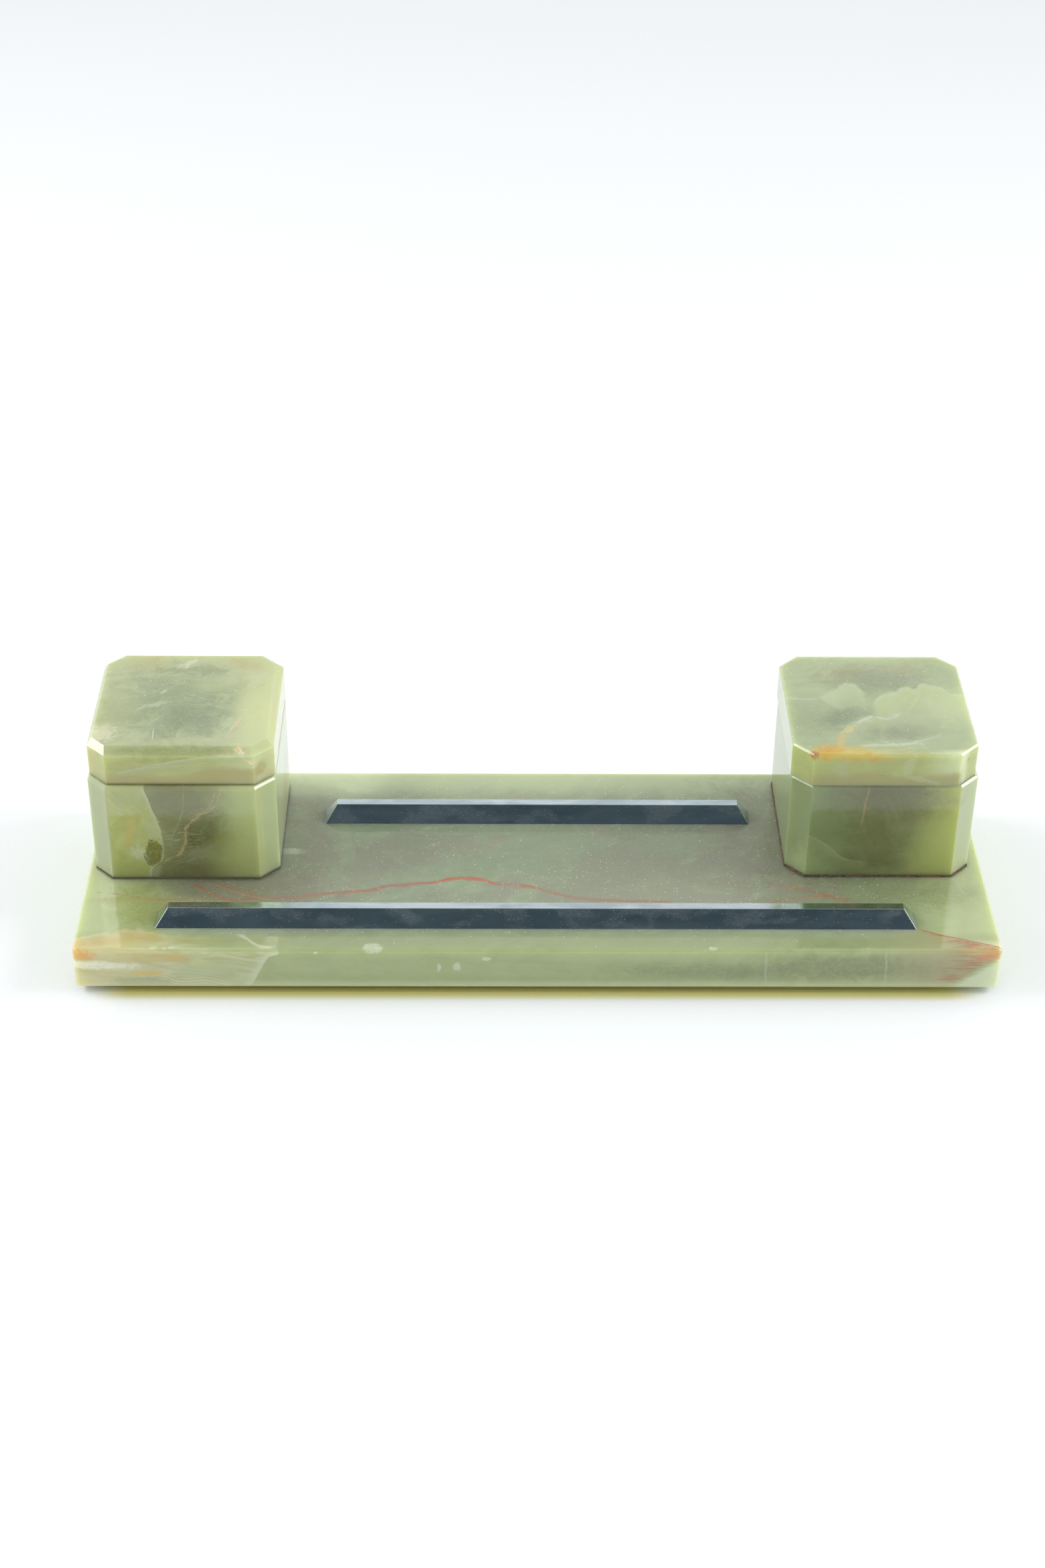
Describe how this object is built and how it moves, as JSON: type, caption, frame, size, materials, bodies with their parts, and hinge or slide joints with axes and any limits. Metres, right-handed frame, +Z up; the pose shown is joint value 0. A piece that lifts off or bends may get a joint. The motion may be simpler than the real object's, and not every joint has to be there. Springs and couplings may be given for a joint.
{
  "type": "inkwell desk stand",
  "caption": "Green onyx desk inkstand: a long slab with cut-corner inkwells at the ends, hinged lids, glass pots and chromed pen bars.",
  "frame": {"origin": "centre of the slab's length and depth, on the plane that the stand rests on", "axes": "+X along the slab to the right well, +Y to the back, +Z up; the front, where the long pen bar is, faces -Y"},
  "size_m": [0.305, 0.103, 0.0685],
  "materials": {
    "green_onyx": "polished, translucent, veined",
    "chromed_bar": "polished chrome plate, lightly dusty",
    "plain_steel": "plain, hidden",
    "well_cement": "brown cement, dull",
    "pot_glass": "clear pressed glass",
    "hinge_brass": "aged brass",
    "plug_lead": "dull lead, hidden",
    "olive_baize": "thick wool baize"
  },
  "bodies": {
    "stand": {"base_slab": "green_onyx", "baize_pad": "olive_baize", "front_pen_bar": "chromed_bar", "front_bar_studs": "plain_steel", "front_bar_washers": "plain_steel", "front_bar_nuts": "plain_steel", "rear_pen_bar": "chromed_bar", "rear_bar_studs": "plain_steel", "rear_bar_washers": "plain_steel", "rear_bar_nuts": "plain_steel", "left_well_cement": "well_cement", "left_well_body": "green_onyx", "left_ink_pot": "pot_glass", "left_hinge_pin": "hinge_brass", "left_body_leaf": "hinge_brass", "left_body_screws": "hinge_brass", "left_body_plugs": "plug_lead", "right_well_cement": "well_cement", "right_well_body": "green_onyx", "right_ink_pot": "pot_glass", "right_hinge_pin": "hinge_brass", "right_body_leaf": "hinge_brass", "right_body_screws": "hinge_brass", "right_body_plugs": "plug_lead"},
    "left_lid": {"left_lid": "green_onyx", "left_lid_leaf": "hinge_brass", "left_lid_screws": "hinge_brass", "left_lid_plugs": "plug_lead"},
    "right_lid": {"right_lid": "green_onyx", "right_lid_leaf": "hinge_brass", "right_lid_screws": "hinge_brass", "right_lid_plugs": "plug_lead"}
  },
  "joints": [
    {"name": "left_lid_hinge", "type": "hinge", "parent": "stand", "child": "left_lid", "pos_m": [-0.1187, 0.0457, 0.0555], "axis": [-1, 0, 0], "range_deg": [0, 100]},
    {"name": "right_lid_hinge", "type": "hinge", "parent": "stand", "child": "right_lid", "pos_m": [0.1162, 0.0478, 0.0555], "axis": [-1, 0, 0], "range_deg": [0, 100]}
  ]
}
